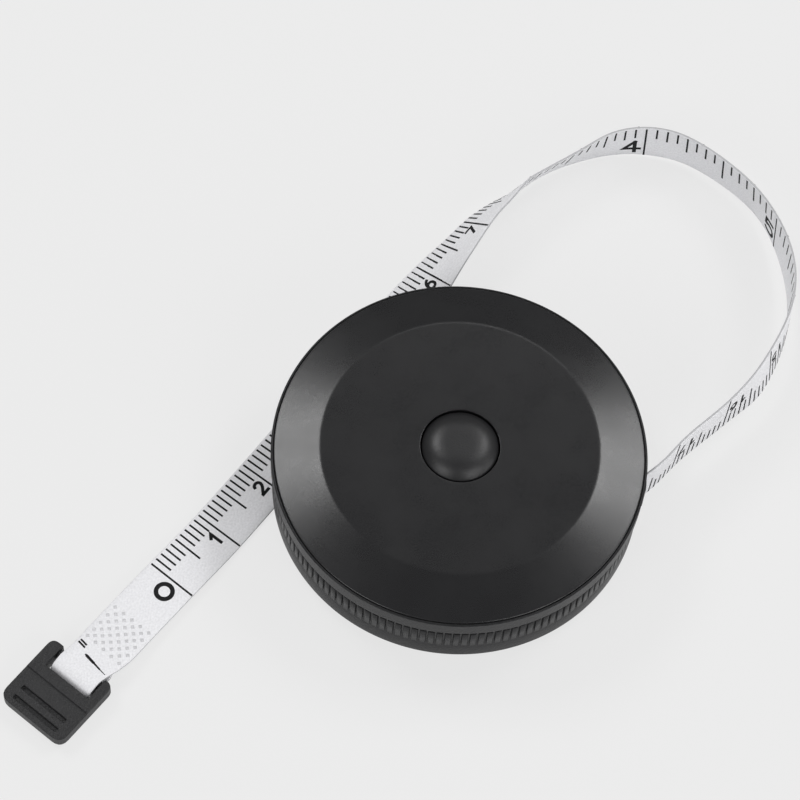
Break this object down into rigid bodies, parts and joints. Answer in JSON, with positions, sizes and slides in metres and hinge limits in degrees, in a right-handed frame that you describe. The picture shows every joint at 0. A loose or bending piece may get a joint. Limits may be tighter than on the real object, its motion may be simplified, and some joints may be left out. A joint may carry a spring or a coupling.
{
  "type": "push-button cloth tape measure",
  "caption": "Round black pocket tape measure with a knurled rim, a spring reel, a push button that frees the brake, and a loop of white cloth tape ending in a plastic tab.",
  "frame": {"origin": "centre of the flat back face, on the reel axis", "axes": "+Z along the reel axis from the back face to the button, +X toward the tape mouth"},
  "size_m": [0.1041, 0.1006, 0.0163],
  "materials": {
    "case_black": "satin moulded black plastic",
    "band_black": "matte, finely grained black plastic",
    "button_black": "satin moulded black plastic",
    "tab_black": "matte moulded black plastic",
    "reel_white": "plain moulded plastic",
    "arbor_grey": "plain moulded plastic",
    "spring_steel": "bare spring steel",
    "brake_rubber": "matte rubber",
    "tape_white": "coated woven cloth with a printed black scale"
  },
  "bodies": {
    "case": {"back_cover": "case_black", "case_band": "band_black", "top_cover": "case_black", "arbor": "arbor_grey", "main_spring": "spring_steel", "button_spring": "spring_steel", "tape": "tape_white"},
    "reel": {"reel_drum": "reel_white", "reel_cover": "reel_white", "wound_tape": "tape_white"},
    "button": {"push_button": "button_black", "brake_ring": "brake_rubber"},
    "tab": {"end_tab": "tab_black"}
  },
  "joints": [
    {"name": "button_press", "type": "slide", "parent": "case", "child": "button", "axis": [0, 0, -1], "range_m": [0, 0.0012], "stiffness_N_per_m": 800, "springref_m": -0.004, "deforming": ["button_spring"]},
    {"name": "reel_spin", "type": "hinge", "parent": "case", "child": "reel", "pos_m": [0, 0, 0.0075], "axis": [0, 0, 1], "range_deg": [-610, 4590]},
    {"name": "tab_swing", "type": "hinge", "parent": "case", "child": "tab", "pos_m": [-0.04866, -0.03209, 0.00145], "axis": [-0.8241, 0.5664, 0], "range_deg": [-100, 100]}
  ]
}
